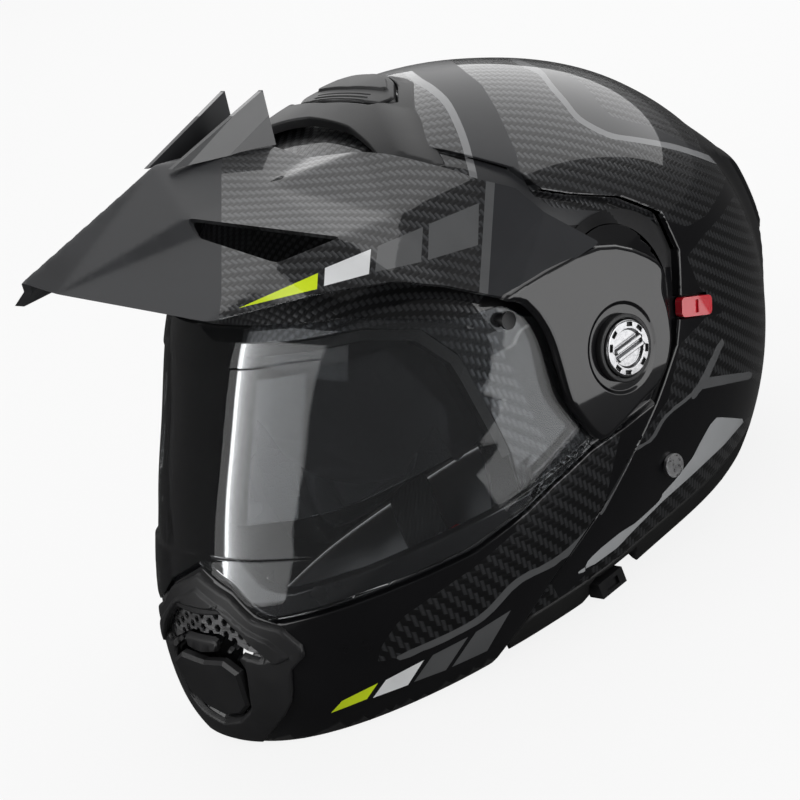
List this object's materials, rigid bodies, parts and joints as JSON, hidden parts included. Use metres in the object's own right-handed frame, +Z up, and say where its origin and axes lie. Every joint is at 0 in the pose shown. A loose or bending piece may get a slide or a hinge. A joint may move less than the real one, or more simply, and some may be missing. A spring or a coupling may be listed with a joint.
{
  "type": "dual sport helmet",
  "caption": "Flip-up dual sport helmet with a long peak, clear face shield, drop-down smoked sun visor, padded liner, vents and a buckled chin strap.",
  "frame": {"origin": "on the floor below the middle of the helmet's bounding box", "axes": "+Z up, -Y the front that the face looks to, +X the wearer's left"},
  "size_m": [0.2712, 0.3618, 0.2643],
  "materials": {
    "gloss_shell": "black gloss over a dark woven carbon look",
    "trim_rubber": "satin black rubber",
    "foam": "dark grey expanded foam with a fine bead texture",
    "pad_fabric": "black brushed knit fabric",
    "strap_webbing": "black woven webbing",
    "satin_plastic": "satin black moulded plastic",
    "clear_shield": "clear polished polycarbonate",
    "smoke_visor": "dark smoked polycarbonate",
    "red_plastic": "glossy red plastic",
    "silver_mesh": "pressed silver mesh",
    "steel": "plain turned steel",
    "knob_chrome": "bright plated metal"
  },
  "bodies": {
    "helmet": {"outer_shell": "gloss_shell", "shell_edge_trim": "trim_rubber", "eps_liner": "foam", "crown_pad": "pad_fabric", "cheek_pad_left": "pad_fabric", "cheek_pad_right": "pad_fabric", "neck_roll": "pad_fabric", "brow_seal": "trim_rubber", "top_vent_housing": "gloss_shell", "rear_spoiler": "gloss_shell", "hinge_pins": "steel", "visor_pivots": "steel", "striker_pins": "steel", "strap_rivets": "steel", "chin_strap_left": "strap_webbing", "chin_strap_right": "strap_webbing", "buckle_housing": "steel", "buckle_tongue": "steel"},
    "top_vent_slide": {"top_vent_slider": "satin_plastic"},
    "lock_slide": {"lock_slider": "red_plastic"},
    "sun_visor_frame": {"sun_visor": "smoke_visor"},
    "visor_lever": {"sun_visor_lever": "satin_plastic"},
    "buckle_arm": {"buckle_lever": "red_plastic"},
    "chin_guard": {"chin_bar": "gloss_shell", "chin_liner": "foam", "chin_vent_housing": "gloss_shell", "chin_vent_mesh": "silver_mesh", "breath_deflector": "trim_rubber", "chin_curtain": "pad_fabric", "peak": "gloss_shell", "knob_rings": "satin_plastic"},
    "chin_vent_slide": {"chin_vent_slider": "satin_plastic"},
    "release": {"release_button": "satin_plastic"},
    "shield": {"face_shield": "clear_shield", "shield_insert": "clear_shield", "shield_pins": "satin_plastic"},
    "knob_left": {"side_knob_left": "knob_chrome"},
    "knob_right": {"side_knob_right": "knob_chrome"}
  },
  "joints": [
    {"name": "chin_bar_hinge", "type": "hinge", "parent": "helmet", "child": "chin_guard", "pos_m": [0, 0.02707, 0.126], "axis": [-1, 0, 0], "range_deg": [0, 70]},
    {"name": "shield_hinge", "type": "hinge", "parent": "chin_guard", "child": "shield", "pos_m": [0, 0.01007, 0.108], "axis": [-1, 0, 0], "range_deg": [0, 25]},
    {"name": "sun_visor_hinge", "type": "hinge", "parent": "helmet", "child": "sun_visor_frame", "pos_m": [0, 0.01007, 0.108], "axis": [-1, 0, 0], "range_deg": [0, 45]},
    {"name": "visor_lever_slide", "type": "slide", "parent": "helmet", "child": "visor_lever", "axis": [0, 1, 0], "range_m": [0, 0.012]},
    {"name": "lock_slide", "type": "slide", "parent": "helmet", "child": "lock_slide", "axis": [0, -0.9135, 0.4067], "range_m": [0, 0.004]},
    {"name": "top_vent_slide", "type": "slide", "parent": "helmet", "child": "top_vent_slide", "axis": [0, -1, 0], "range_m": [0, 0.004]},
    {"name": "chin_vent_slide", "type": "slide", "parent": "chin_guard", "child": "chin_vent_slide", "axis": [0, 0, 1], "range_m": [0, 0.0035]},
    {"name": "release_press", "type": "slide", "parent": "chin_guard", "child": "release", "axis": [0, 0, 1], "range_m": [0, 0.003], "stiffness_N_per_m": 600, "springref_m": -0.002},
    {"name": "knob_left_turn", "type": "hinge", "parent": "chin_guard", "child": "knob_left", "pos_m": [0.128, 0.01007, 0.108], "axis": [1, 0, 0], "range_deg": [0, 90]},
    {"name": "knob_right_turn", "type": "hinge", "parent": "chin_guard", "child": "knob_right", "pos_m": [-0.128, 0.01007, 0.108], "axis": [-1, 0, 0], "range_deg": [0, 90]},
    {"name": "buckle_release", "type": "hinge", "parent": "helmet", "child": "buckle_arm", "pos_m": [0.015, -0.02393, 0.0129], "axis": [0, 1, 0], "range_deg": [0, 30], "stiffness_Nm_per_rad": 0.4, "springref_deg": -9.74}
  ],
  "couplings": [
    {"joint": "visor_lever_slide", "follows": "sun_visor_hinge", "m_per_rad": 0.015279}
  ]
}
